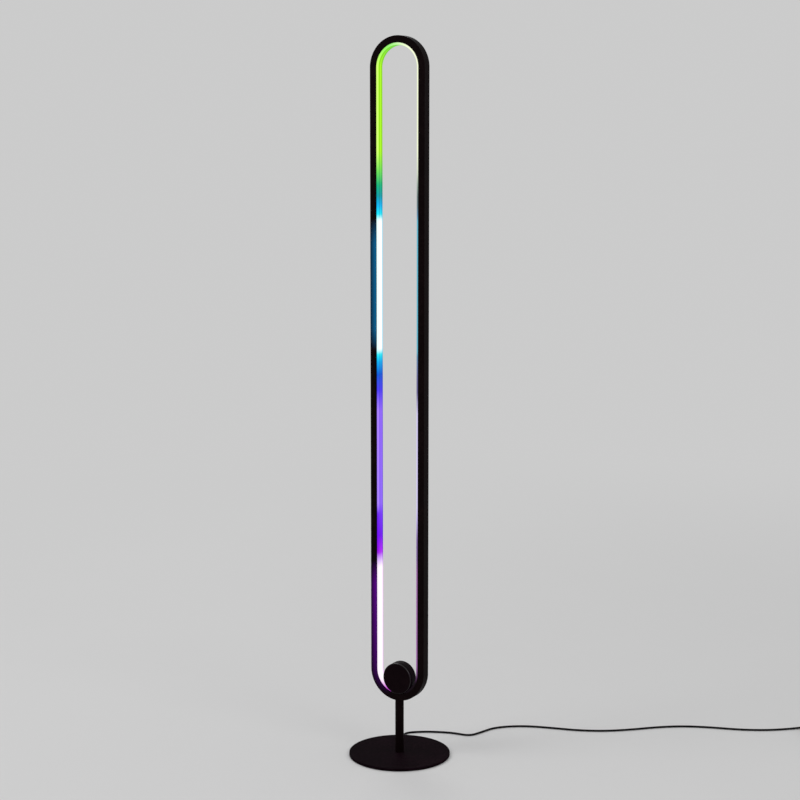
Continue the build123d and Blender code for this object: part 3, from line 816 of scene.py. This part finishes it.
def padSection(s):                  # radius and height, round the ring's cut face
    inner, outer, edge, top = s["inner"], s["outer"], s["edge"], s["thickness"]
    bevel, depth = edge * s["edgeShare"], s["grooveDepth"]
    line = [(inner, top), (inner, edge), (inner + bevel, bevel), (inner + edge, 0.0)]
    start = inner + s["rim"]
    while start + s["groove"] + s["rim"] < outer:
        end = start + s["groove"]
        line += [(start, 0.0), (start + depth, depth), (end - depth, depth), (end, 0.0)]
        start += s["pitch"]
    return line + [(outer - edge, 0.0), (outer - bevel, bevel), (outer, edge), (outer, top)]


def makePad(s):
    section = padSection(s)
    middle = math.radians(90 + cordSet["notchAngle"])
    mesh = bmesh.new()
    rows = []
    for step in range(s["steps"] + 1):
        row = []
        for radius, height in section:
            half = math.asin(s["slotHalf"] / radius)
            angle = middle + half + (2 * math.pi - 2 * half) * step / s["steps"]
            row.append(mesh.verts.new((*onCircle(radius, angle), height)))
        rows.append(row)
    for one, two in zip(rows, rows[1:]):
        for index in range(len(section)):
            after = (index + 1) % len(section)
            mesh.faces.new((one[index], two[index], two[after], one[after]))
    mesh.faces.new(rows[0])
    mesh.faces.new(reversed(rows[-1]))
    pad = addMesh("footPad", mesh, "rubberBlack", "base_pad")


makePad(padSet)
makeScrews(screwSet)
print("foot pad and cover screws set")

cordPiece, routePoints = makeCord(cordSet)
boot = makeBoot(bootSet)
tie = makeTie(tieSet)
adapterNodes = ("adapter_shell", "adapter_face", "adapter_blades", "adapter_board", "adapter_transformer",
                "adapter_capacitors")
onCord = [boot, tie] + [nodes[name] for name in adapterNodes]
print("cord laid with", len(routePoints), "points")


# studio: pale paper floor, surroundings of the same tone, soft lamps
studioSet = {
    "paper": 0.60,
    "worldLight": 0.50,
    "floorSize": 80.0,
    "floorColour": 0.76,
    "floorShade": 0.98,
    "floorGrain": 3.0,
    "floorGloss": 0.8,
    "floorSpecular": 0.1,
    "floorFade": (0.8, 3.4),        # from lit floor to plain background
    "lamps": (
        {"place": (-2.4, -2.6, 3.2), "aim": (0, 0, 0.7), "size": 2.2, "power": 46.0},
        {"place": (3.0, -1.0, 2.6), "aim": (0, 0, 0.7), "size": 2.0, "power": 22.0},
        {"place": (-2.2, 2.6, 3.0), "aim": (0, 0, 0.8), "size": 2.2, "power": 26.0},
    ),
}


def seen(shades):                   # 1 for rays that should find the plain background
    made = shades.node("LightPath").socket.node
    camera, glossy, through = [Out(shades, made.outputs["Is %s Ray" % kind])
                               for kind in ("Camera", "Glossy", "Transmission")]
    return (camera + glossy + through).least(1.0)


def makeWorld(s):
    world = bpy.data.worlds.new("studioWorld")
    scene.world = world
    world.use_nodes = True
    shades = Shades(world.node_tree)
    strength = seen(shades).between(s["worldLight"], s["paper"])
    sky = shades.node("Background", None, {"Color": grey(1.0), "Strength": strength})
    shades.node("OutputWorld", None, {"Surface": sky})


def makeFloor(s):
    material, shades = newFinish("paleFloor")
    tone = s["floorColour"]
    paper = shades.mix(shades.noise(s["floorGrain"]), grey(tone * s["floorShade"]), grey(tone))
    near = shades.node("BsdfPrincipled", None, {
        "Base Color": paper, "Roughness": s["floorGloss"], "Specular IOR Level": s["floorSpecular"],
    })
    away = shades.node("Emission", None, {"Color": grey(1.0), "Strength": s["paper"]})
    x, y, z = shades.parts(shades.place())
    reach = x.diagonal(y).ease(*s["floorFade"])
    blend = shades.node("MixShader", None, {0: reach, 1: near, 2: away})
    shades.node("OutputMaterial", None, {"Surface": blend})
    half = s["floorSize"] / 2
    corners = [(-half, -half, 0), (half, -half, 0), (half, half, 0), (-half, half, 0)]
    mesh = bpy.data.meshes.new("floor")
    mesh.from_pydata(corners, [], [(0, 1, 2, 3)])
    floor = bpy.data.objects.new("floor", mesh)
    floor.data.materials.append(material)
    scene.collection.objects.link(floor)


def makeLamps(s):
    for number, lamp in enumerate(s["lamps"]):
        data = bpy.data.lights.new("softLamp%d" % number, "AREA")
        data.shape = "DISK"
        data.size = lamp["size"]
        data.energy = lamp["power"]
        obj = bpy.data.objects.new(data.name, data)
        obj.location = lamp["place"]
        way = Vector(lamp["aim"]) - Vector(lamp["place"])
        obj.rotation_euler = way.to_track_quat("-Z", "Y").to_euler()
        scene.collection.objects.link(obj)


makeWorld(studioSet)
makeFloor(studioSet)
makeLamps(studioSet)
print("studio set")
